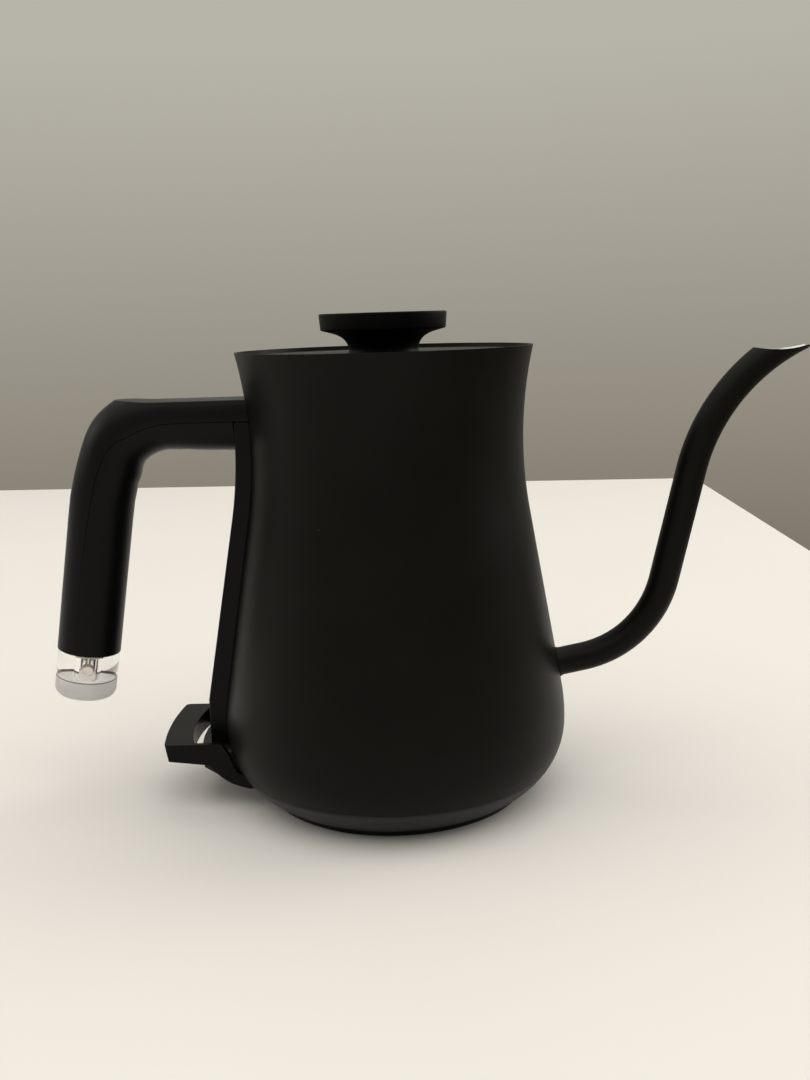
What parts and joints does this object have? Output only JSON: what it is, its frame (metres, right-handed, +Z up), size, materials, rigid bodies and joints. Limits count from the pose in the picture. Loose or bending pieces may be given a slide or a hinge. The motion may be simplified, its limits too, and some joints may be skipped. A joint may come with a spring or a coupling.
{
  "type": "gooseneck kettle",
  "caption": "Electric gooseneck kettle: flared steel body, bent pouring spout, tube handle with a lamp at its foot, lift-off lid, heated base and a tilting switch lever.",
  "frame": {"origin": "on the body's axis, in the plane of the foot and the mouth of the recess under the base", "axes": "+X towards the spout, +Z up, +Y away from a viewer who sees the spout on the right"},
  "size_m": [0.2696, 0.123, 0.17],
  "materials": {
    "coat": "matt black coat, slightly warm, orange-peel fine",
    "steel": "bare stainless steel",
    "plated": "zinc-plated steel",
    "alu": "as rolled",
    "copper": "copper sheath or bimetal, dull",
    "brass": "plain brass",
    "black": "satin black moulded plastic",
    "housing": "glass-filled black plastic",
    "ivory": "ivory moulded plastic",
    "clear": "clear moulded plastic, polished",
    "bulb": "thin clear glass",
    "rubber": "silicone rubber",
    "wire": "glass-fibre sleeve"
  },
  "bodies": {
    "kettle": {"body_shell": "coat", "vessel_floor": "steel", "spout_tube": "coat", "heat_spreader": "alu", "heating_element": "copper", "dry_boil_disc": "copper", "control_housing": "housing", "centre_contact": "brass", "ring_contact": "brass", "contact_blade": "brass", "element_straps": "brass", "control_screws": "plated", "steam_disc": "copper", "trip_pin": "plated", "cover_posts": "plated", "base_seal": "rubber", "base_cover": "black", "base_screws": "plated", "lever_pin": "plated", "spine_cover": "black", "steam_grommet": "rubber", "handle_bracket": "plated", "handle_inner_shell": "black", "handle_outer_shell": "black", "handle_screws": "plated", "lamp_holder": "ivory", "lamp_lens": "clear", "neon_lamp": "bulb", "lamp_electrodes": "plated", "lamp_leads": "wire"},
    "lid": {"lid_cover": "coat", "lid_skirt": "steel", "lid_pan": "steel", "knob": "black", "knob_insert": "brass", "knob_screw": "plated", "knob_washer": "steel"},
    "lever": {"switch_lever": "black"},
    "trip": {"trip_lever": "ivory"}
  },
  "joints": [
    {"name": "lid_lift", "type": "slide", "parent": "kettle", "child": "lid", "axis": [0, 0, 1], "range_m": [0, 0.06]},
    {"name": "lever_tilt", "type": "hinge", "parent": "kettle", "child": "lever", "pos_m": [-0.048, 0, 0.009], "axis": [0, -1, 0], "range_deg": [0, 7]},
    {"name": "trip_tilt", "type": "hinge", "parent": "kettle", "child": "trip", "pos_m": [-0.029, 0, 0.009], "axis": [0, 1, 0], "range_deg": [0, 7.8]}
  ],
  "couplings": [
    {"joint": "trip_tilt", "follows": "lever_tilt", "ratio": 1.1111}
  ]
}
